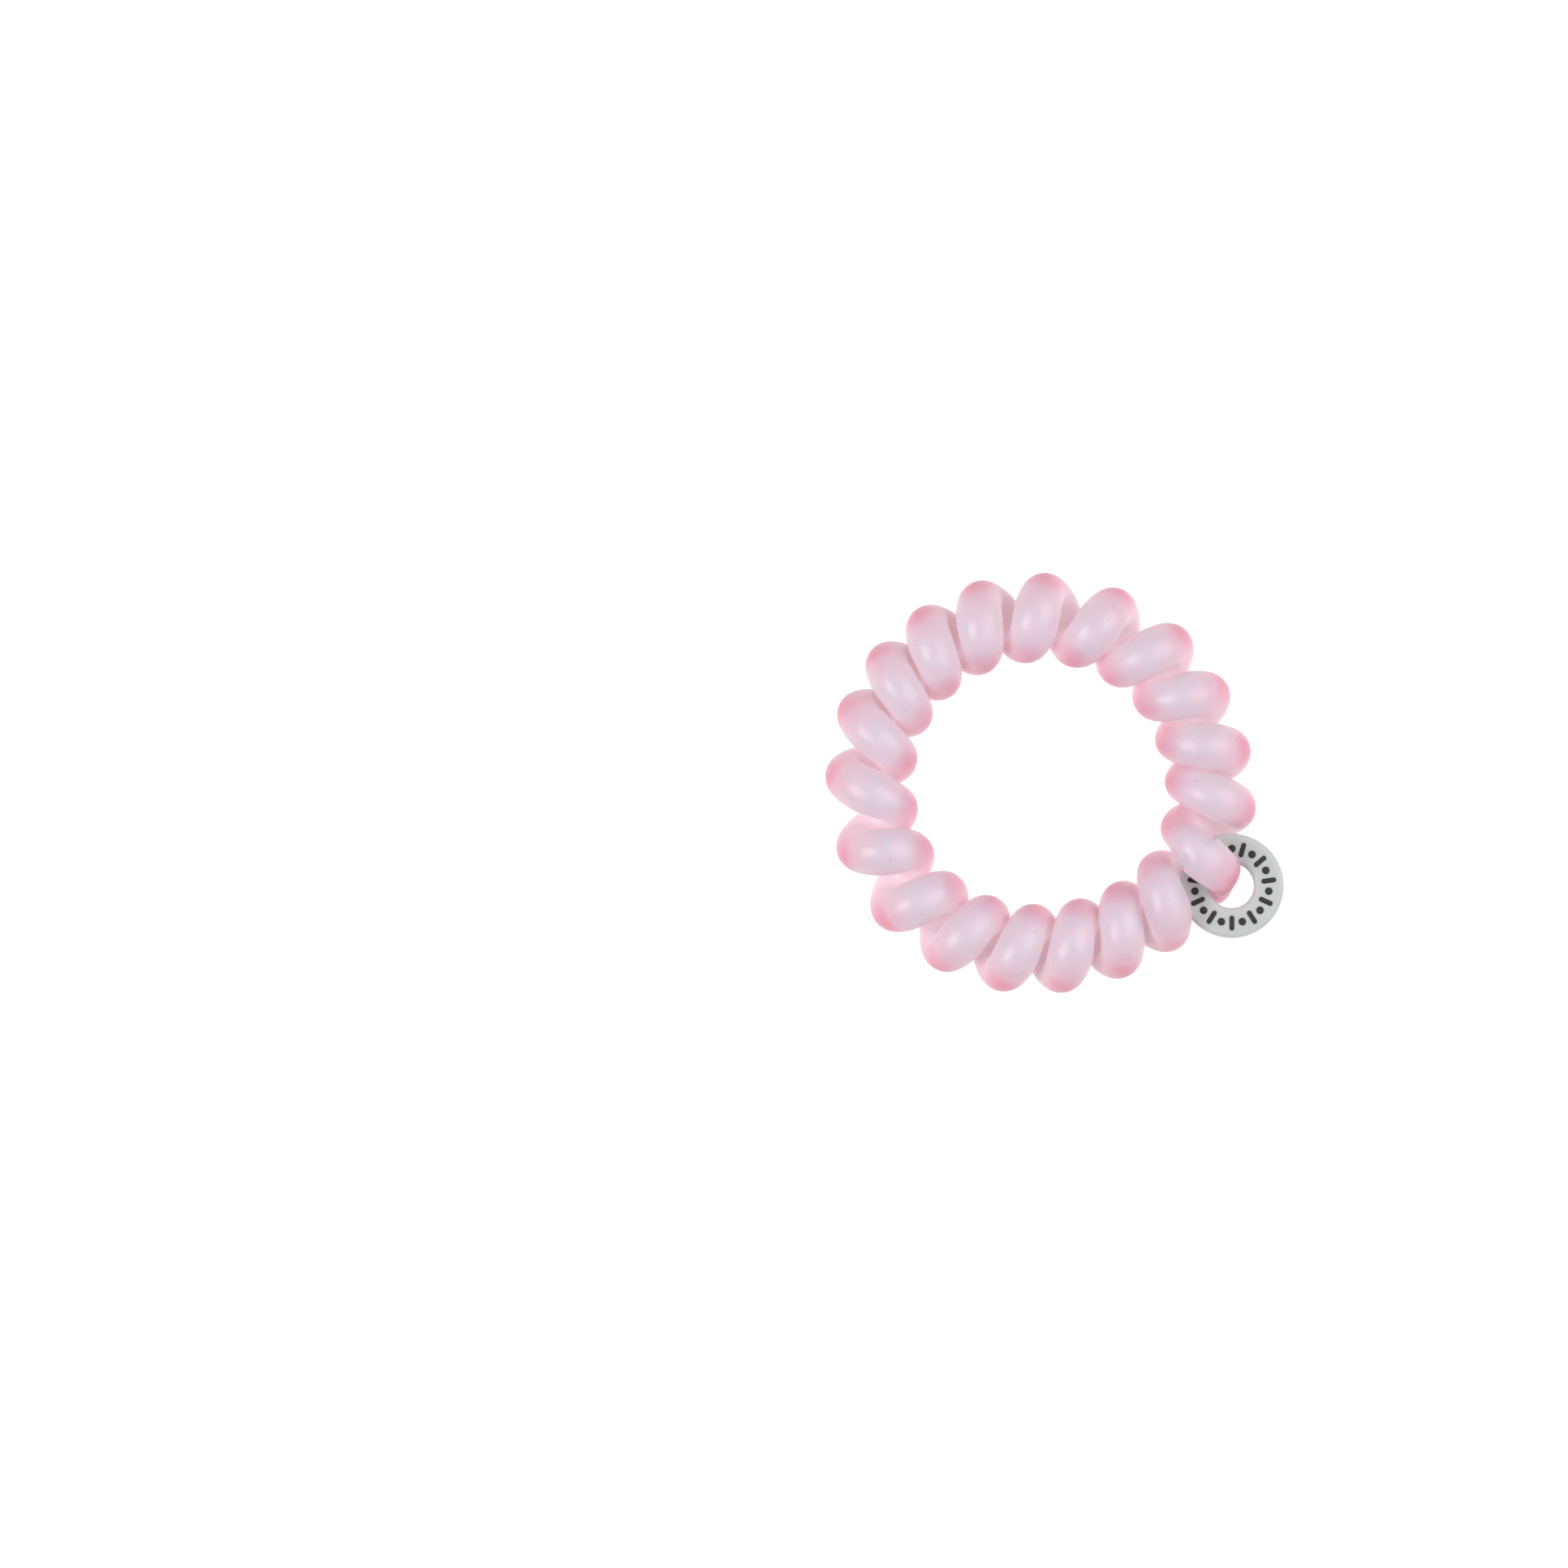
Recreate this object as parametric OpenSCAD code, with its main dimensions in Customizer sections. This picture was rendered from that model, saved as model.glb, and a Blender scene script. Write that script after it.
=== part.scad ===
// Spiral hair tie: one closed strand wound into a coil that is bent round into a ring,
// with a flat ring tag threaded on one of its turns.
// It lies flat: the resting plane is z = 0 and Z is the axis of the ring.

/* [Strand] */
// Thickness of the strand, measured across the coil
strand_t = 3.72; // [3.2:0.02:4.4]
// Width of the strand along the ring, where its neighbours leave it room
strand_w = 4.3; // [3.6:0.02:5]
// Share of that width kept at the outer bends, where the strand turns on end
outer_bend_share = 0.89; // [0.8:0.01:1]
// Clear gap between neighbouring turns
turn_gap = 0.06; // [0.02:0.01:0.3]

/* [Coil] */
// Diameter of the hollow down the middle of the coil
core_d = 0.72; // [0.5:0.02:1.6]
// Diameter of the circle that the middle of the coil follows
ring_d = 30; // [28:0.5:40]
// Share by which the strand moves round the ring more slowly at its outer bends
slowing_share = 0.2; // [0:0.05:0.4]

/* [Ring tag] */
// Outer diameter of the ring tag
tag_d = 9.4; // [8.4:0.1:11]
// Diameter of its hole
tag_hole_d = 4; // [3.4:0.1:5]
// Thickness of the tag
tag_t = 1.3; // [0.9:0.1:2]
// Radius of its rounded edges
tag_edge_r = 0.45; // [0.1:0.05:0.6]
// How far its near edge reaches in past the middle circle of the coil
tag_seat = 0.78; // [0.4:0.02:1.2]
// Clear gap between the tag and the strand
tag_gap = 0.12; // [0.05:0.01:0.3]
// Thickness of the strand pinched in the hole, as a share of the hole
pinch_share = 0.52; // [0.4:0.02:0.7]

/* [Hidden] */

// One row for each turn: angle of its outer bend and of its inner bend, in degrees round
// the ring, and how far the turn is pushed out of the middle circle, as a share of strand_t
OUTER_BEND = 0;
INNER_BEND = 1;
PUSH = 2;
TURNS = [
    [9.5, 17.6, 0.02],
    [27.6, 36.6, -0.02],
    [46.5, 56, -0.02],
    [67.1, 75.5, -0.04],
    [88.6, 96, -0.04],
    [108, 115.5, 0],
    [125.5, 134, 0.04],
    [142, 152, 0.08],
    [159, 170.5, 0.1],
    [178, 190, 0.08],
    [199.7, 209, 0.08],
    [220.5, 229, 0.08],
    [240.3, 248, 0.04],
    [258.7, 267, 0],
    [276.3, 286, -0.03],
    [294, 304.5, 0],
    [310.8, 323, 0.09],
    [331.2, 342, 0.15],
    [352.5, 360.3, 0.12],
];
turn_count = len(TURNS);
// Row of the turn that is threaded through the tag
THREADED = 17;

// Facets of the strand
RINGS_PER_TURN = 20;
SIDES = 12;
// How sharply the strand gives way as it meets its neighbour or the tag
GIVE = 16;
// How suddenly the strand narrows on its way into the hole
NARROWING = 3;
// Share of the hole's free width that the threaded strand may fill
HOLE_FILL = 0.97;
// How much wider it bulges above the hole, as a share of its width
BULGE = 0.3;
// How much of its width lies towards its outer side there
LEAN = 0.45;
// Thinnest that the strand is ever pressed, as a share of its thickness
THIN_SHARE = 0.1;
// Part of a turn over which the strand's direction is measured
STEP = 0.001;
// Part of a turn searched for the place where the threaded strand meets the tag's height
NEAR_BEND = [-0.04:0.01:0.1];

// Facets of the tag, and the most that its edges are rounded, as a share of its thickness
TAG_SIDES = 96;
EDGE_SIDES = 32;
EDGE_LIMIT = 0.45;

strand_r = strand_t / 2;
core_r = core_d / 2;
coil_r = core_r + strand_t;
hole_r = tag_hole_d / 2;
rim_w = tag_d / 2 - hole_r;
edge_r = min(tag_edge_r, EDGE_LIMIT * tag_t);
pinch_r = min(strand_r, pinch_share * hole_r);

// The back of each turn rests on the ground plane. The tag lies just over the backs of its
// turns, and their fronts are raised to clear it.
tag_height = tag_gap + tag_t / 2 - core_r;
front_core = tag_height + tag_t / 2 + tag_gap;
// The threaded turn reaches out to the near edge of the hole
outer_core = rim_w - tag_seat + tag_gap;

// Smooth curve through b and c, with a and d as the points before and after
function curve(a, b, c, d, t) =
    0.5 * (2 * b + (c - a) * t + (2 * a - 5 * b + 4 * c - d) * t ^ 2
    + (3 * b - a - 3 * c + d) * t ^ 3);

// From 0 to 1, level at both ends
function ease(q) = let (s = max(0, q)) s ^ 2 * (3 - 2 * s);

// The smaller of two values, with the corner between them rounded
function soft_min(a, b) = (a ^ -GIVE + b ^ -GIVE) ^ (-1 / GIVE);

// Places along the strand are counted in turns: whole numbers are outer bends, halves are
// inner bends. The front of a turn follows its outer bend and the back follows its inner one.
function row(turn) = turn - turn_count * floor(turn / turn_count);
function is_inner(bend) = bend - 2 * floor(bend / 2) == 1;
function bend_angle(bend) =
    let (turn = floor(bend / 2), column = is_inner(bend) ? INNER_BEND : OUTER_BEND)
    TURNS[row(turn)][column] + 360 * floor(turn / turn_count);
function bend_push(bend) =
    let (turn = floor(bend / 2), here = TURNS[row(turn)][PUSH], next = TURNS[row(turn + 1)][PUSH])
    is_inner(bend) ? (here + next) / 2 : here;

function ring_angle(u) =
    let (bend = floor(2 * u), t = 2 * u - bend)
    curve(bend_angle(bend - 1), bend_angle(bend), bend_angle(bend + 1), bend_angle(bend + 2), t)
    - slowing_share * 360 / turn_count * sin(360 * u) / (2 * PI);
function ring_r(u) =
    let (bend = floor(2 * u), t = 2 * u - bend)
    ring_d / 2 + strand_t
    * curve(bend_push(bend - 1), bend_push(bend), bend_push(bend + 1), bend_push(bend + 2), t);

// Which turns go through the tag, and which pass over it
function is_threaded(u) = cos(360 * u) > 0 && row(round(u)) == THREADED;
function is_over_tag(u) =
    sin(360 * u) > 0 && (row(floor(u)) == THREADED || row(floor(u)) == THREADED - 1);

// Half the strand's thickness before the tag presses on it: it is pinched in the hole
function strand_half(u) =
    is_threaded(u) ? strand_r - (strand_r - pinch_r) * cos(360 * u) ^ NARROWING : strand_r;

// Centre of the coil and of the strand, at a place along the strand
function coil_centre(u) = let (a = ring_angle(u), r = ring_r(u)) [r * cos(a), r * sin(a), coil_r];
function out_from_coil(u) =
    (core_r + strand_half(u)) * cos(360 * u)
    + (is_threaded(u) ? (outer_core - core_r) * ease(cos(360 * u)) : 0);
function up_from_coil(u) =
    (core_r + strand_half(u)) * sin(360 * u)
    + (is_over_tag(u) ? (front_core - core_r) * ease(sin(360 * u)) : 0);
function strand_centre(u) =
    let (a = ring_angle(u), r = ring_r(u) + out_from_coil(u))
    [r * cos(a), r * sin(a), coil_r + up_from_coil(u)];

// The tag's centre lies where the threaded strand crosses the tag's height
tag_crossing = lookup(
    tag_height,
    [for (part = NEAR_BEND) [up_from_coil(THREADED + part), THREADED + part]]
);
tag_angle = ring_angle(tag_crossing);
tag_ring_r = ring_r(THREADED) - tag_seat + tag_d / 2;
tag_centre = [tag_ring_r * cos(tag_angle), tag_ring_r * sin(tag_angle), coil_r + tag_height];

// Clear distance from a point to the tag, a flat ring with rounded edges
function room_to_tag(p) =
    let (
        q = p - tag_centre,
        across = norm([q.x, q.y]),
        beside = max(hole_r + edge_r - across, across - tag_d / 2 + edge_r, 0),
        above = max(abs(q.z) - tag_t / 2 + edge_r, 0)
    )
    norm([beside, above]) - edge_r - tag_gap;

// Half the width that the hole leaves the threaded strand
function width_in_hole(p, room) =
    let (above = (p.z - tag_centre.z) / strand_r)
    HOLE_FILL * sqrt((hole_r - tag_gap) * room) * (1 + BULGE * min(1, max(0, above)));

// One cross-section of the strand: an oval square to its path, which is egg-shaped where the
// strand is threaded
function unit(v) = v / norm(v);
function section(u) =
    let (
        centre = strand_centre(u),
        along = unit(strand_centre(u + STEP) - strand_centre(u - STEP)),
        from_coil = centre - coil_centre(u),
        outward = unit(from_coil - (from_coil * along) * along),
        sideways = cross(along, outward),
        ahead = abs((strand_centre(u + 1) - centre) * sideways),
        behind = abs((centre - strand_centre(u - 1)) * sideways),
        half = strand_half(u),
        bend = max(0, cos(360 * u)) ^ 2,
        free_w = strand_w / 2 * (1 - (1 - outer_bend_share) * bend),
        packed_w = soft_min(free_w, (min(ahead, behind) - turn_gap) / 2),
        room = max(room_to_tag(centre), THIN_SHARE * strand_t),
        t = soft_min(half, room),
        w = soft_min(packed_w, is_threaded(u) ? width_in_hole(centre, room) : room),
        lean = is_threaded(u) ? LEAN * bend : 0
    )
    [
        for (j = [0:SIDES - 1])
        let (a = 360 * j / SIDES, out = t * cos(a), side = w * sin(a) * (1 + lean * cos(a)))
        centre + out * outward + side * sideways
    ];

module coil() {
    rings = turn_count * RINGS_PER_TURN;
    points = [for (i = [0:rings - 1]) each section(i / RINGS_PER_TURN)];
    faces = [
        for (i = [0:rings - 1], j = [0:SIDES - 1])
        let (
            a = i * SIDES + j,
            b = i * SIDES + (j + 1) % SIDES,
            c = (i + 1) % rings * SIDES + (j + 1) % SIDES,
            d = (i + 1) % rings * SIDES + j
        )
        each [[a, c, b], [a, d, c]]
    ];
    color("pink") polyhedron(points, faces, convexity = 10);
}

module ring_tag() {
    color("whitesmoke") translate(tag_centre)
        rotate_extrude($fn = TAG_SIDES) translate([hole_r, 0]) rim_outline();
}

// Section through the tag's rim: a bar with rounded corners
module rim_outline() {
    translate([edge_r, -tag_t / 2]) square([rim_w - 2 * edge_r, tag_t]);
    translate([0, edge_r - tag_t / 2]) square([rim_w, tag_t - 2 * edge_r]);
    for (x = [edge_r, rim_w - edge_r], y = [edge_r - tag_t / 2, tag_t / 2 - edge_r])
        translate([x, y]) circle(edge_r, $fn = EDGE_SIDES);
}

coil();
ring_tag();
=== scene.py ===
"""Looks of the spiral hair tie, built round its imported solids. Lengths are in metres.

+Z is the axis of the ring and z = 0 is the floor that the tie lies on.
"""

import bpy
import numpy as np
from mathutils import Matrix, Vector


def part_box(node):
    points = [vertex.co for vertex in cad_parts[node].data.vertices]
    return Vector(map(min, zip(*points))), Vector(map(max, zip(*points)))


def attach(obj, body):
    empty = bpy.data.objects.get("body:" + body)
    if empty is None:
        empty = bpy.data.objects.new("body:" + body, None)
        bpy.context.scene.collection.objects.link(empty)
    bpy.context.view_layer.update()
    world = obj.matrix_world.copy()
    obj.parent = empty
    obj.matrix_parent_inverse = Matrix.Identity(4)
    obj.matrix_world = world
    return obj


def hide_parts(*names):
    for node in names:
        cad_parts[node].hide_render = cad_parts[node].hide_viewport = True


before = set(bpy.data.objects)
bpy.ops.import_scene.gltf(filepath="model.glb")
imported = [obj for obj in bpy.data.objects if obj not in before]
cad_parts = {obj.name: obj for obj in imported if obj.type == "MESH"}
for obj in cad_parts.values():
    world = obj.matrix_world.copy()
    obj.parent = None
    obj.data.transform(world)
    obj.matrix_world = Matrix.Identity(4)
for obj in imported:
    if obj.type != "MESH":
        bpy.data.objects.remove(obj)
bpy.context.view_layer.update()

# The strand: its thickness, its width where its neighbours leave it room, the share of that
# width kept at the outer bends, and the clear gap between turns
STRAND_T = 0.00372
STRAND_W = 0.0043
OUTER_BEND_SHARE = 0.89
TURN_GAP = 0.00006

# The coil: the hollow down its middle, the circle that its middle follows, and the share by
# which the strand moves round the ring more slowly at its outer bends
CORE_D = 0.00072
RING_D = 0.030
SLOWING_SHARE = 0.2

# The ring tag, how far its near edge reaches in past the middle circle of the coil, its clear
# gap to the strand, and the thickness of the strand pinched in the hole, as a share of the hole
TAG_D = 0.0094
TAG_HOLE_D = 0.004
TAG_T = 0.0013
TAG_EDGE_R = 0.00045
TAG_SEAT = 0.00078
TAG_GAP = 0.00012
PINCH_SHARE = 0.52

# One row for each turn: angle of its outer bend and of its inner bend, in degrees round
# the ring, and how far the turn is pushed out of the middle circle, as a share of STRAND_T
OUTER_BEND = 0
INNER_BEND = 1
PUSH = 2
TURNS = np.array(
    [
        [9.5, 17.6, 0.02],
        [27.6, 36.6, -0.02],
        [46.5, 56, -0.02],
        [67.1, 75.5, -0.04],
        [88.6, 96, -0.04],
        [108, 115.5, 0],
        [125.5, 134, 0.04],
        [142, 152, 0.08],
        [159, 170.5, 0.1],
        [178, 190, 0.08],
        [199.7, 209, 0.08],
        [220.5, 229, 0.08],
        [240.3, 248, 0.04],
        [258.7, 267, 0],
        [276.3, 286, -0.03],
        [294, 304.5, 0],
        [310.8, 323, 0.09],
        [331.2, 342, 0.15],
        [352.5, 360.3, 0.12],
    ]
)
TURN_COUNT = len(TURNS)
# Row of the turn that is threaded through the tag
THREADED = 17

# How sharply the strand gives way as it meets its neighbour or the tag
GIVE = 16
# How suddenly the strand narrows on its way into the hole
NARROWING = 3
# Share of the hole's free width that the threaded strand may fill
HOLE_FILL = 0.97
# How much wider it bulges above the hole, as a share of its width
BULGE = 0.3
# How much of its width lies towards its outer side there
LEAN = 0.45
# Thinnest that the strand is ever pressed, as a share of its thickness
THIN_SHARE = 0.1
# Part of a turn over which the strand's direction is measured
STEP = 0.001

STRAND_R = STRAND_T / 2
CORE_R = CORE_D / 2
COIL_R = CORE_R + STRAND_T
HOLE_R = TAG_HOLE_D / 2
TAG_R = TAG_D / 2
RIM_W = TAG_R - HOLE_R
PINCH_R = min(STRAND_R, PINCH_SHARE * HOLE_R)
# The tag lies just over the backs of its turns, and their fronts are raised to clear it
TAG_HEIGHT = TAG_GAP + TAG_T / 2 - CORE_R
FRONT_CORE = TAG_HEIGHT + TAG_T / 2 + TAG_GAP
# The threaded turn reaches out to the near edge of the hole
OUTER_CORE = RIM_W - TAG_SEAT + TAG_GAP

# Facets of the strand that is seen
RINGS_PER_TURN = 96
SIDES = 48

WHITE = (1, 1, 1)
BLACK = (0, 0, 0)

# Colour of the strand round a turn, from 0 at the inner bend to 1 at the outer bend. It is partly
# the strand's own pink and partly painted light: a painted whitish sheen along the stretches, and
# a deeper pink painted round the bends for light seen through the strand
STRAND_COLOURS_AND_PAINTED_LIGHT = [
    (0, (0.755, 0.295, 0.405)),
    (0.09, (0.79, 0.475, 0.59)),
    (0.2, (0.785, 0.66, 0.755)),
    (0.35, (0.775, 0.685, 0.77)),
    (0.5, (0.745, 0.665, 0.75)),
    (0.72, (0.79, 0.65, 0.73)),
    (0.86, (0.825, 0.565, 0.67)),
    (0.95, (0.82, 0.34, 0.455)),
    (1, (0.78, 0.31, 0.435)),
]
# How far those colours drift round the turn, and the size of the clouds in which they do
COLOUR_DRIFT = (-0.03, 0.03)
DRIFT_SIZE = 0.004
# Painted shade: a dusty pink put on the strand's sides deep inside the coil, where shade falls
# between the turns
DEEP_SHADE_COLOUR = (0.765, 0.66, 0.72)
# Share of the coil's radius within which a place is deep inside
DEEP = 0.4
# How fast that is reached from the coil's outside: 1 is evenly, and less is faster
DEEPENING = 0.75
# A painted glow: light given off by the strand's sides inside the coil, standing in for light
# that the strand passes on there, and how much more of it there is by the inner bends and deep
# inside along the stretches
GLOW = 0.102
GLOW_COLOUR = (1, 0.78, 0.79)
INNER_GLOW = 0.9
STRETCH_GLOW = 2.4
# How suddenly the added glow fades
GLOW_FADING = 3
# How far red, green and blue light travel inside the strand, in millimetres
STRAND_LIGHT_MM = (3, 1.2, 1.4)
METRES_PER_MM = 0.001
# The frosted surface: size of its patches, least and most roughness, and its fine lumps
PATCH_SIZE = 0.0008
STRAND_ROUGHNESS = (0.31, 0.37)
STRAND_LUMP = 0.00016
STRAND_BUMP = 0.3
# The fine specks in the strand, whose edges are soft
SPECK_SPACING = 0.0015
SPECK_R = 0.0001
SPECK_SOFT = 0.00005
SPECK_TINT = (0.8, 0.6, 0.66)

# The tag: the two colours of its clouds, its satin face, the share of light that enters it, how
# far that travels, and a painted glow given off all over it, which stands in for light passed on
# from below and lifts the shade that the strand casts on it
TAG_COLOURS = ((0.5, 0.51, 0.51), (0.53, 0.54, 0.54))
TAG_CLOUD = 0.002
TAG_ROUGHNESS = (0.35, 0.45)
TAG_LUMP = 0.0003
TAG_BUMP = 0.15
TAG_MILKINESS = 0.7
TAG_LIGHT_REACH = 0.0006
TAG_GLOW = 0.12

# Marks printed on the tag
MARK_COUNT = 22
MARK_R = 0.00335
BAR_LENGTH = 0.00135
BAR_WIDTH = 0.00046
DOT_D = 0.0007
INK_DEPTH = 0.00002
# Facets of each round end
MARK_SIDES = 10
# Outlines of a mark from the bottom up: share of its size, and height over the tag's face
MARK_ROWS = [(1, -INK_DEPTH), (1, INK_DEPTH / 2), (0.93, INK_DEPTH)]

# The ink: the two colours of its clouds, and its surface
INK_COLOURS = ((0.018, 0.016, 0.016), (0.032, 0.028, 0.028))
INK_CLOUD = 0.0003
INK_ROUGHNESS = (0.45, 0.65)
INK_BUMP = 0.3

# A noise's cloudy values lie mostly between these two
CLOUD_RANGE = (0.3, 0.7)
# Height of the lumps on every surface, before their strength
LUMP_HEIGHT = 0.00001

# The photograph's frame
PHOTO_PX = 1932
M_PER_PX = 0.000073
RING_CENTRE_PX = (1282, 965)
LENS_MM = 200
SENSOR_MM = 36

# Brightness of the surroundings, and of their near and far sides, and where from the middle
# to those sides the one turns into the other
SURROUND = 0.43
NEAR_AND_FAR = 0.02
FADE_RANGE = (0.1, 0.9)

# The floor: half its width, and its own glow
FLOOR_HALF = 0.6
FLOOR_GLOW = 1.15

# The softboxes: name, direction from the ring, power in watts, and size
SOFTBOXES = [
    ("left_softbox", (-0.64, -0.11, 0.76), 1.25, 0.26),
    ("right_softbox", (0.65, 0.15, 0.74), 1.46, 0.45),
]
SOFTBOX_DISTANCE = 0.5


def curve(a, b, c, d, t):
    """Smooth curve through b and c, with a and d as the points before and after."""
    linear = 2 * b + (c - a) * t
    square = (2 * a - 5 * b + 4 * c - d) * t**2
    cube = (3 * b - a - 3 * c + d) * t**3
    return 0.5 * (linear + square + cube)


def ease(q):
    """From 0 to 1, level at both ends."""
    s = np.maximum(0, q)
    return s**2 * (3 - 2 * s)


def soft_min(a, b):
    """The smaller of two values, with the corner between them rounded."""
    return (a**-GIVE + b**-GIVE) ** (-1 / GIVE)


# Places along the strand, called u, are counted in turns: whole numbers are outer bends,
# halves are inner bends. Bends are counted in halves of a turn: outer ones are even.
def turn_phase(u):
    """Angle round the coil: 0 at the outer bend, a quarter turn at the front."""
    return 2 * np.pi * u


def is_inner(bend):
    return bend % 2 == 1


def bend_angle(bend):
    """Angle of a bend round the ring, in degrees, which grows on past 360."""
    turn = bend // 2
    column = np.where(is_inner(bend), INNER_BEND, OUTER_BEND)
    return TURNS[turn % TURN_COUNT, column] + 360 * (turn // TURN_COUNT)


def bend_push(bend):
    """How far a bend is pushed out, as a share of STRAND_T."""
    turn = bend // 2
    here = TURNS[turn % TURN_COUNT, PUSH]
    following = TURNS[(turn + 1) % TURN_COUNT, PUSH]
    return np.where(is_inner(bend), (here + following) / 2, here)


def through_bends(value, u):
    """A value given at each bend, at the places u between them."""
    bend = np.floor(2 * u).astype(int)
    return curve(value(bend - 1), value(bend), value(bend + 1), value(bend + 2), 2 * u - bend)


def ring_angle(u):
    """Angle of the strand round the ring."""
    slowing = SLOWING_SHARE * 360 / TURN_COUNT * np.sin(turn_phase(u)) / (2 * np.pi)
    return np.radians(through_bends(bend_angle, u) - slowing)


def ring_r(u):
    """Distance of the coil's middle from the axis of the ring."""
    return RING_D / 2 + STRAND_T * through_bends(bend_push, u)


def is_threaded(u):
    """Whether the strand goes through the tag."""
    nearest = np.floor(u + 0.5).astype(int) % TURN_COUNT
    return (np.cos(turn_phase(u)) > 0) & (nearest == THREADED)


def is_over_tag(u):
    """Whether the strand passes over the tag."""
    turn = np.floor(u).astype(int) % TURN_COUNT
    return (np.sin(turn_phase(u)) > 0) & ((turn == THREADED) | (turn == THREADED - 1))


def strand_half(u):
    """Half the strand's thickness before the tag presses on it: it is pinched in the hole."""
    pinched = STRAND_R - (STRAND_R - PINCH_R) * np.abs(np.cos(turn_phase(u))) ** NARROWING
    return np.where(is_threaded(u), pinched, STRAND_R)


def out_from_coil(u):
    """How far out the strand's centre lies from the coil's middle."""
    outward = np.cos(turn_phase(u))
    reach_out = np.where(is_threaded(u), (OUTER_CORE - CORE_R) * ease(outward), 0)
    return (CORE_R + strand_half(u)) * outward + reach_out


def up_from_coil(u):
    """How far up the strand's centre lies from the coil's middle."""
    upward = np.sin(turn_phase(u))
    reach_up = np.where(is_over_tag(u), (FRONT_CORE - CORE_R) * ease(upward), 0)
    return (CORE_R + strand_half(u)) * upward + reach_up


def round_the_ring(u, radius, height):
    angle = ring_angle(u)
    return np.stack([radius * np.cos(angle), radius * np.sin(angle), height], axis=-1)


def coil_centre(u):
    return round_the_ring(u, ring_r(u), np.full_like(u, COIL_R))


def strand_centre(u):
    return round_the_ring(u, ring_r(u) + out_from_coil(u), COIL_R + up_from_coil(u))


def row_dot(a, b):
    return np.sum(a * b, axis=-1, keepdims=True)


def unit(v):
    return v / np.sqrt(row_dot(v, v))


def room_to_tag(points, tag_centre):
    """Clear distance from each point to the tag, a flat ring with rounded edges."""
    offset = points - np.array(tag_centre)
    across = np.hypot(offset[..., 0], offset[..., 1])
    past_hole = HOLE_R + TAG_EDGE_R - across
    past_rim = across - TAG_R + TAG_EDGE_R
    beside = np.maximum(np.maximum(past_hole, past_rim), 0)
    above = np.maximum(np.abs(offset[..., 2]) - TAG_T / 2 + TAG_EDGE_R, 0)
    return np.hypot(beside, above) - TAG_EDGE_R - TAG_GAP


def width_in_hole(centre, room, tag_centre):
    """Half the width that the hole leaves the threaded strand."""
    above = np.clip((centre[:, 2] - tag_centre[2]) / STRAND_R, 0, 1)
    return HOLE_FILL * np.sqrt((HOLE_R - TAG_GAP) * room) * (1 + BULGE * above)


def strand_points(u, around, tag_centre):
    """Surface of the strand: a row for each place u, a column for each angle around.

    Each row is an oval square to the strand's path, egg-shaped where it is threaded.
    """
    centre = strand_centre(u)
    along = unit(strand_centre(u + STEP) - strand_centre(u - STEP))
    from_coil = centre - coil_centre(u)
    outward = unit(from_coil - row_dot(from_coil, along) * along)
    sideways = np.cross(along, outward)
    ahead = np.abs(row_dot(strand_centre(u + 1) - centre, sideways))[:, 0]
    behind = np.abs(row_dot(centre - strand_centre(u - 1), sideways))[:, 0]
    bend = np.maximum(0, np.cos(turn_phase(u))) ** 2
    free_w = STRAND_W / 2 * (1 - (1 - OUTER_BEND_SHARE) * bend)
    packed_w = soft_min(free_w, (np.minimum(ahead, behind) - TURN_GAP) / 2)
    room = np.maximum(room_to_tag(centre, tag_centre), THIN_SHARE * STRAND_T)
    threaded = is_threaded(u)
    width_limit = np.where(threaded, width_in_hole(centre, room, tag_centre), room)
    thickness = soft_min(strand_half(u), room)
    width = soft_min(packed_w, width_limit)
    lean = np.where(threaded, LEAN * bend, 0)
    out = thickness[:, None] * np.cos(around)
    side = width[:, None] * np.sin(around) * (1 + lean[:, None] * np.cos(around))
    middle_line = centre[:, None] + out[..., None] * outward[:, None]
    return middle_line + side[..., None] * sideways[:, None]


def between_bends(u):
    """Where the strand is between its bends: 0 is the inner one and 1 the outer one."""
    furthest = np.where(is_threaded(u), OUTER_CORE + PINCH_R, CORE_R + STRAND_R)
    return 0.5 + 0.5 * out_from_coil(u) / furthest


def deepness(points, middle_r):
    """From 0 on the coil's outside to 1 deep inside, with its middle middle_r from the axis."""
    from_ring = np.hypot(points[:, 0], points[:, 1]) - middle_r
    from_middle = np.hypot(from_ring, points[:, 2] - COIL_R)
    return np.clip((1 - from_middle / COIL_R) / (1 - DEEP), 0, 1) ** DEEPENING


def box_centre(node):
    low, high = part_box(node)
    return (low + high) / 2


def mesh_object(name, points, faces):
    mesh = bpy.data.meshes.new(name)
    mesh.from_pydata(points.tolist(), [], faces)
    mesh.update()
    mesh.shade_smooth()
    piece = bpy.data.objects.new(name, mesh)
    bpy.context.scene.collection.objects.link(piece)
    return piece


def point_attribute(piece, name, values):
    attribute = piece.data.attributes.new(name, "FLOAT", "POINT")
    attribute.data.foreach_set("value", np.asarray(values, np.float32).ravel())


def closed_grid(rows, columns):
    """Faces of a grid of points that closes on itself both ways."""
    faces = []
    for i in range(rows):
        for j in range(columns):
            ahead = (i + 1) % rows * columns
            beside = (j + 1) % columns
            faces.append((i * columns + j, ahead + j, ahead + beside, i * columns + beside))
    return faces


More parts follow.
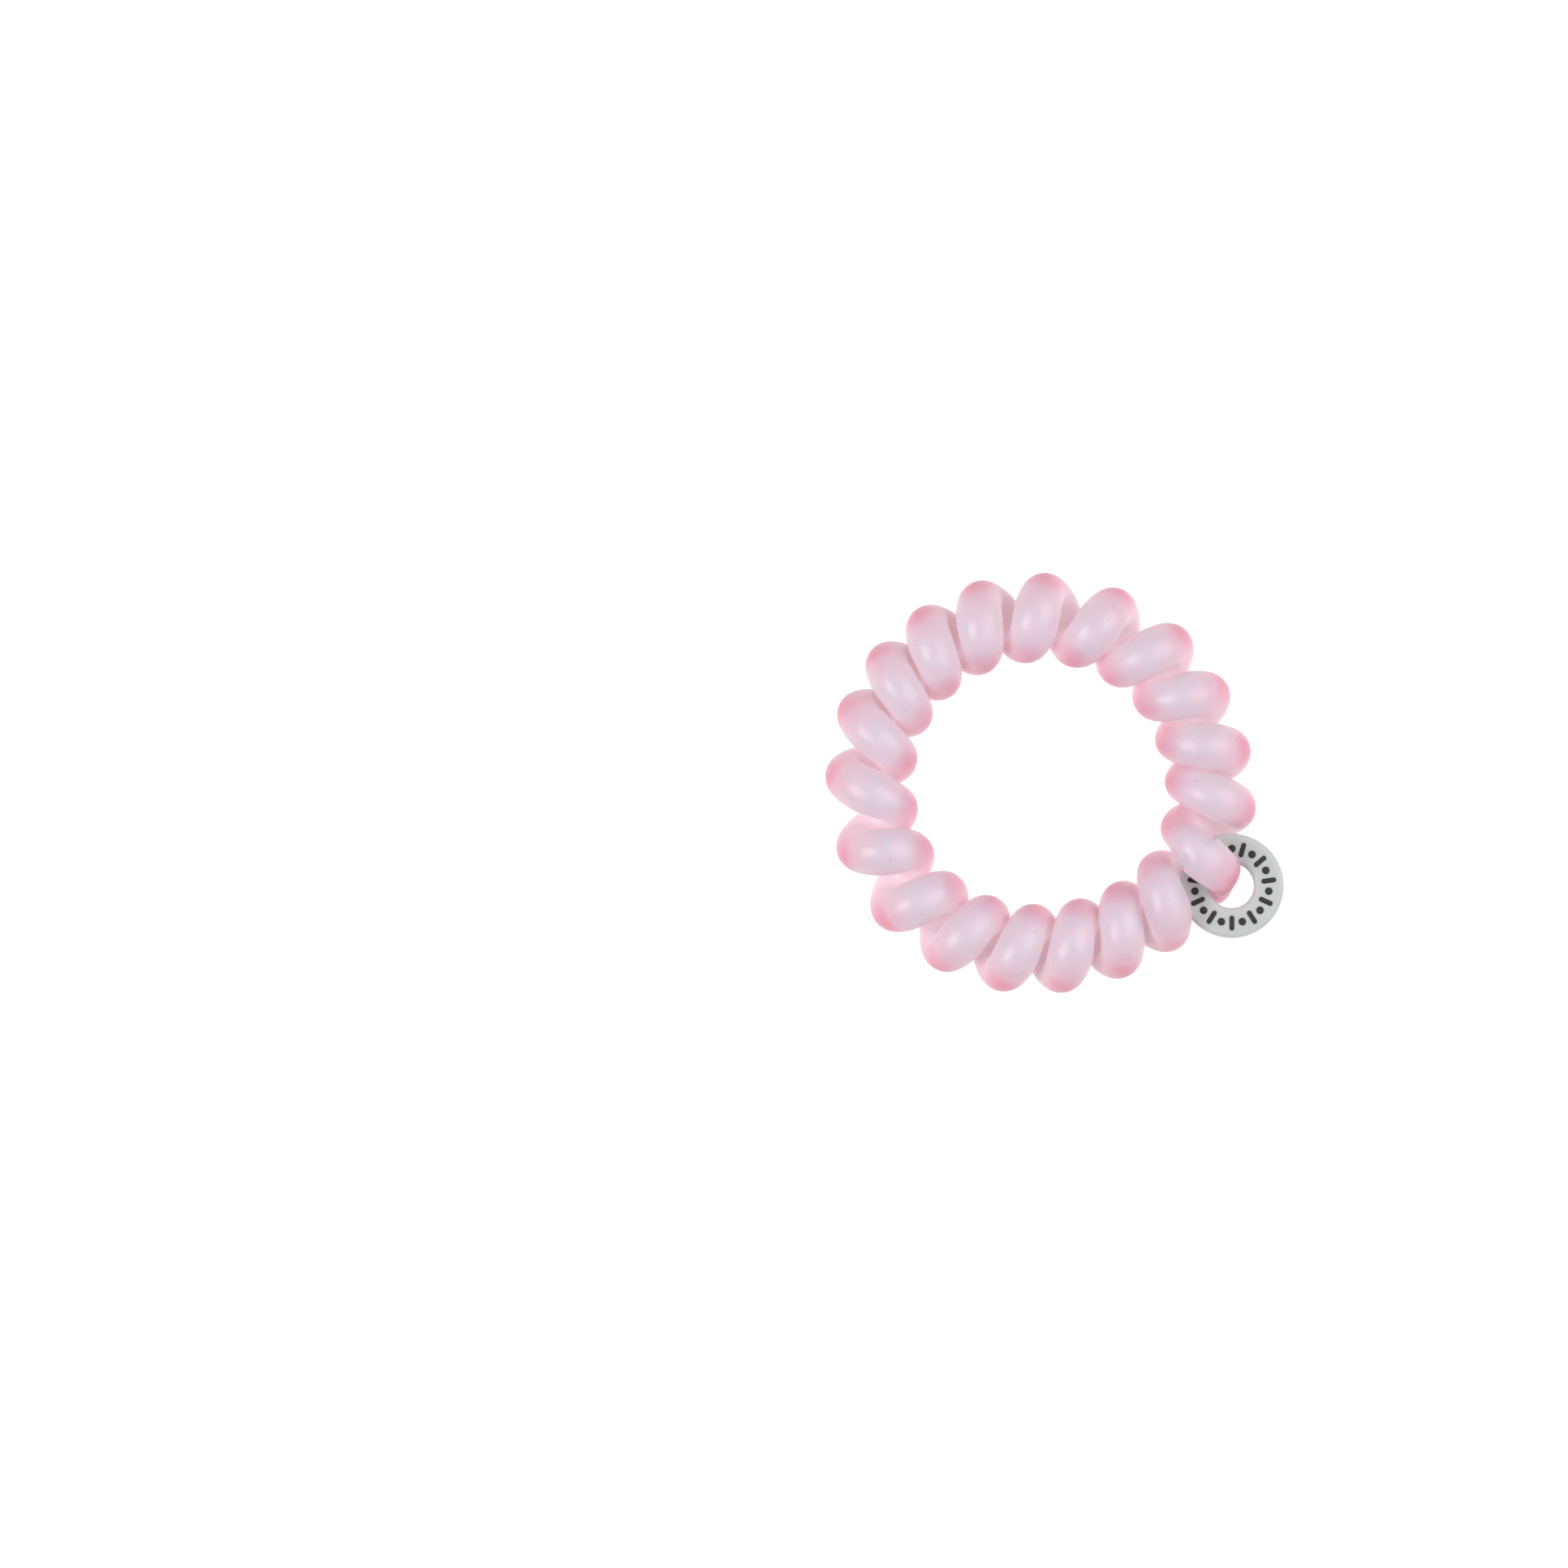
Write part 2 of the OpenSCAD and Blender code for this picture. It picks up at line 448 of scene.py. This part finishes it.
def make_strand():
    """The smooth strand that is seen in the place of the faceted coil."""
    rings = TURN_COUNT * RINGS_PER_TURN
    u = np.arange(rings) / RINGS_PER_TURN
    around = 2 * np.pi * np.arange(SIDES) / SIDES
    points = strand_points(u, around, box_centre("ring_tag")).reshape(-1, 3)
    piece = mesh_object("frosted_strand", points, closed_grid(rings, SIDES))
    bend = np.repeat(between_bends(u), SIDES)
    # How deep inside the coil each point lies, which sets the painted shade and the painted glow
    inside = deepness(points, np.repeat(ring_r(u), SIDES))
    # Painted glow on the sides inside the coil, stronger by the inner bends and deep inside along
    # the stretches
    by_inner_bends = INNER_GLOW * (1 - bend) ** GLOW_FADING
    along_stretches = STRETCH_GLOW * inside**GLOW_FADING * bend * (1 - bend)
    more_glow = by_inner_bends + along_stretches
    point_attribute(piece, "bend", bend)
    point_attribute(piece, "inside", inside)
    point_attribute(piece, "glow", GLOW * inside * (1 + more_glow))
    piece.data.materials.append(strand_material())
    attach(piece, "root")
    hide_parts("coil")


def set_range(node, low, high, to_low, to_high):
    """Has a Map Range node move values from low to high to the range to_low to to_high."""
    node.inputs["From Min"].default_value = low
    node.inputs["From Max"].default_value = high
    node.inputs["To Min"].default_value = to_low
    node.inputs["To Max"].default_value = to_high


class Shader:
    """Builds a material's nodes."""

    def __init__(self, name):
        self.material = bpy.data.materials.new(name)
        self.material.use_nodes = True
        self.nodes = self.material.node_tree.nodes
        self.links = self.material.node_tree.links
        self.surface = self.nodes["Principled BSDF"]
        self.coordinates = None

    def add(self, kind, **settings):
        node = self.nodes.new(kind)
        for name, value in settings.items():
            setattr(node, name, value)
        return node

    def set(self, **values):
        """Sets the surface's own values, with _ for each space in their names."""
        for name, value in values.items():
            self.surface.inputs[name.replace("_", " ")].default_value = value

    def join(self, output, target):
        self.links.new(output, target)

    def drive(self, name, output):
        """Joins an output to one of the surface's inputs."""
        self.join(output, self.surface.inputs[name])

    def attribute(self, name):
        """A value that the mesh carries at each point."""
        return self.add("ShaderNodeAttribute", attribute_name=name).outputs["Fac"]

    def place(self):
        if self.coordinates is None:
            self.coordinates = self.add("ShaderNodeTexCoord").outputs["Object"]
        return self.coordinates

    def noise(self, size, detail=2):
        """Cloudy values, in lumps of the given size."""
        node = self.add("ShaderNodeTexNoise")
        node.inputs["Scale"].default_value = 1 / size
        node.inputs["Detail"].default_value = detail
        self.join(self.place(), node.inputs["Vector"])
        return node.outputs["Fac"]

    def dots(self, spacing, radius, soft):
        """0 inside scattered dots and 1 outside them."""
        node = self.add("ShaderNodeTexVoronoi")
        node.inputs["Scale"].default_value = 1 / spacing
        self.join(self.place(), node.inputs["Vector"])
        solid = (radius - soft) / spacing
        return self.spread(node.outputs["Distance"], solid, radius / spacing, 0, 1)

    def spread(self, value, low, high, to_low, to_high):
        """A value from low to high, moved to the range from to_low to to_high."""
        node = self.add("ShaderNodeMapRange")
        set_range(node, low, high, to_low, to_high)
        self.join(value, node.inputs["Value"])
        return node.outputs["Result"]

    def cloud_values(self, cloud, to_range):
        """Cloudy values moved to another range."""
        return self.spread(cloud, *CLOUD_RANGE, *to_range)

    def cloud_colours(self, cloud, colours):
        """Cloudy values turned into the colours between two."""
        return self.ramp(cloud, list(zip(CLOUD_RANGE, colours)))

    def ramp(self, factor, stops):
        """A colour ramp from pairs of place and colour."""
        node = self.add("ShaderNodeValToRGB")
        elements = node.color_ramp.elements
        while len(elements) < len(stops):
            elements.new(1)
        for element, (place, colour) in zip(elements, stops):
            element.position = place
            element.color = (*colour, 1)
        self.join(factor, node.inputs["Fac"])
        return node.outputs["Color"]

    def total(self, first, second):
        node = self.add("ShaderNodeMath", operation="ADD")
        self.join(first, node.inputs[0])
        self.join(second, node.inputs[1])
        return node.outputs["Value"]

    def multiply(self, colour, other):
        node = self.add("ShaderNodeVectorMath", operation="MULTIPLY")
        self.join(colour, node.inputs[0])
        self.join(other, node.inputs[1])
        return node.outputs["Vector"]

    def blend(self, factor, colour, other):
        """A colour that turns into another fixed one as the factor goes from 0 to 1."""
        node = self.add("ShaderNodeMixRGB")
        node.inputs["Color2"].default_value = (*other, 1)
        self.join(factor, node.inputs["Fac"])
        self.join(colour, node.inputs["Color1"])
        return node.outputs["Color"]

    def bump(self, height, strength):
        node = self.add("ShaderNodeBump")
        node.inputs["Distance"].default_value = LUMP_HEIGHT
        node.inputs["Strength"].default_value = strength
        self.join(height, node.inputs["Height"])
        self.drive("Normal", node.outputs["Normal"])


def strand_material():
    """Frosted translucent elastomer with painted light in its colour: a painted whitish sheen
    along the stretches, a deeper pink painted round the bends, and painted shade and a painted
    glow on its sides deep inside the coil.
    """
    shader = Shader("frosted_pink")
    drift = shader.cloud_values(shader.noise(DRIFT_SIZE), COLOUR_DRIFT)
    # The ramp paints a whitish sheen along the stretches and a deeper pink round the bends
    pink = shader.ramp(shader.total(shader.attribute("bend"), drift), STRAND_COLOURS_AND_PAINTED_LIGHT)
    # Painted shade: the sides deep inside the coil turn to a dusty shaded pink
    pink = shader.blend(shader.attribute("inside"), pink, DEEP_SHADE_COLOUR)
    dots = shader.dots(SPECK_SPACING, SPECK_R, SPECK_SOFT)
    specks = shader.ramp(dots, [(0, SPECK_TINT), (1, WHITE)])
    shader.drive("Base Color", shader.multiply(pink, specks))
    shader.drive("Roughness", shader.cloud_values(shader.noise(PATCH_SIZE), STRAND_ROUGHNESS))
    shader.bump(shader.noise(STRAND_LUMP, detail=3), STRAND_BUMP)
    # The strand gives off the painted glow itself
    shader.drive("Emission Strength", shader.attribute("glow"))
    shader.set(
        Emission_Color=(*GLOW_COLOUR, 1),
        Subsurface_Weight=1,
        Subsurface_Radius=STRAND_LIGHT_MM,
        Subsurface_Scale=METRES_PER_MM,
    )
    return shader.material


def tag_material():
    """Milky plastic with a satin moulded face, and a painted glow all over it."""
    shader = Shader("milky_plastic")
    cloud = shader.noise(TAG_CLOUD)
    shader.drive("Base Color", shader.cloud_colours(cloud, TAG_COLOURS))
    shader.drive("Roughness", shader.cloud_values(cloud, TAG_ROUGHNESS))
    shader.bump(shader.noise(TAG_LUMP, detail=3), TAG_BUMP)
    shader.set(
        # The tag gives off a painted glow
        Emission_Color=(*WHITE, 1),
        Emission_Strength=TAG_GLOW,
        Subsurface_Weight=TAG_MILKINESS,
        Subsurface_Radius=(1, 1, 1),
        Subsurface_Scale=TAG_LIGHT_REACH,
    )
    return shader.material


def ink_material():
    """Soft black pad print."""
    shader = Shader("soft_black_ink")
    cloud = shader.noise(INK_CLOUD, detail=3)
    shader.drive("Base Color", shader.cloud_colours(cloud, INK_COLOURS))
    shader.drive("Roughness", shader.cloud_values(cloud, INK_ROUGHNESS))
    shader.bump(cloud, INK_BUMP)
    return shader.material


def dress_tag():
    """The tag keeps its packed form, and only its material is new."""
    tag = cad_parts["ring_tag"]
    tag.data.materials.clear()
    tag.data.materials.append(tag_material())


def bar_outline(length, width):
    """A round-ended bar along X, counter-clockwise."""
    ends = []
    for turned in (-np.pi / 2, np.pi / 2):
        angle = turned + np.pi * (np.arange(MARK_SIDES) + 0.5) / MARK_SIDES
        centre = (length - width) / 2 * (-1 if turned > 0 else 1)
        ends.append(np.stack([centre + width / 2 * np.cos(angle), width / 2 * np.sin(angle)], -1))
    return np.concatenate(ends)


def mark_faces(first, count):
    """Faces of one mark, whose three rows of count points start with the point first."""
    faces = []
    for low in (first, first + count):
        for i in range(count):
            after = (i + 1) % count
            faces.append((low + i, low + after, low + count + after, low + count + i))
    faces.append(tuple(range(first + 2 * count, first + 3 * count)))
    faces.append(tuple(range(first + count - 1, first - 1, -1)))
    return faces


def make_marks():
    """Printed bars and dots, by turns, evenly round the face of the tag."""
    centre = box_centre("ring_tag")
    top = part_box("ring_tag")[1][2]
    points = []
    faces = []
    for k in range(MARK_COUNT):
        length, width = (BAR_LENGTH, BAR_WIDTH) if k % 2 == 0 else (DOT_D, DOT_D)
        outline = bar_outline(length, width)
        angle = 2 * np.pi * (k + 0.5) / MARK_COUNT
        out = np.array([np.cos(angle), np.sin(angle)])
        beside = np.array([-out[1], out[0]])
        faces += mark_faces(len(points), len(outline))
        for share, height in MARK_ROWS:
            for x, y in outline * share:
                spot = centre[:2] + (MARK_R + x) * out + y * beside
                points.append((spot[0], spot[1], top + height))
    piece = mesh_object("tag_marks", np.array(points), faces)
    piece.data.materials.append(ink_material())
    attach(piece, "root")


def make_floor():
    signs = ((-1, -1), (1, -1), (1, 1), (-1, 1))
    corners = np.array([(x * FLOOR_HALF, y * FLOOR_HALF, 0) for x, y in signs])
    floor = mesh_object("floor", corners, [(0, 1, 2, 3)])
    shader = Shader("white_floor")
    shader.set(Base_Color=(*BLACK, 1), Roughness=1, Specular_IOR_Level=0)
    shader.set(Emission_Color=(*WHITE, 1), Emission_Strength=FLOOR_GLOW)
    floor.data.materials.append(shader.material)


def make_camera():
    """Looks straight down at the ring from the photograph's place."""
    data = bpy.data.cameras.new("camera")
    data.lens = LENS_MM
    data.sensor_width = SENSOR_MM
    camera = bpy.data.objects.new("camera", data)
    bpy.context.scene.collection.objects.link(camera)
    frame_w = PHOTO_PX * M_PER_PX
    x = (PHOTO_PX / 2 - RING_CENTRE_PX[0]) * M_PER_PX
    y = (RING_CENTRE_PX[1] - PHOTO_PX / 2) * M_PER_PX
    camera.location = (x, y, COIL_R + frame_w * LENS_MM / SENSOR_MM)
    bpy.context.scene.camera = camera


def make_light(name, direction, power, size):
    """A square softbox that faces the middle of the ring."""
    data = bpy.data.lights.new(name, "AREA")
    data.shape = "SQUARE"
    data.size = size
    data.energy = power
    light = bpy.data.objects.new(name, data)
    bpy.context.scene.collection.objects.link(light)
    way = Vector(direction).normalized()
    light.location = way * SOFTBOX_DISTANCE
    light.rotation_mode = "QUATERNION"
    light.rotation_quaternion = way.to_track_quat("Z", "Y")


def make_surround():
    """Soft white light all round, which fades towards the near and far sides."""
    world = bpy.data.worlds.new("studio")
    world.use_nodes = True
    nodes = world.node_tree.nodes
    links = world.node_tree.links
    background = nodes["Background"]
    background.inputs["Color"].default_value = (*WHITE, 1)
    direction = nodes.new("ShaderNodeTexCoord")
    parts = nodes.new("ShaderNodeSeparateXYZ")
    off_centre = nodes.new("ShaderNodeMath")
    off_centre.operation = "ABSOLUTE"
    fade = nodes.new("ShaderNodeMapRange")
    set_range(fade, *FADE_RANGE, SURROUND, NEAR_AND_FAR)
    links.new(direction.outputs["Generated"], parts.inputs["Vector"])
    links.new(parts.outputs["Y"], off_centre.inputs[0])
    links.new(off_centre.outputs["Value"], fade.inputs["Value"])
    links.new(fade.outputs["Result"], background.inputs["Strength"])
    bpy.context.scene.world = world
    bpy.context.scene.view_settings.view_transform = "Standard"


make_camera()
for softbox in SOFTBOXES:
    make_light(*softbox)
make_surround()
make_floor()
make_strand()
dress_tag()
make_marks()
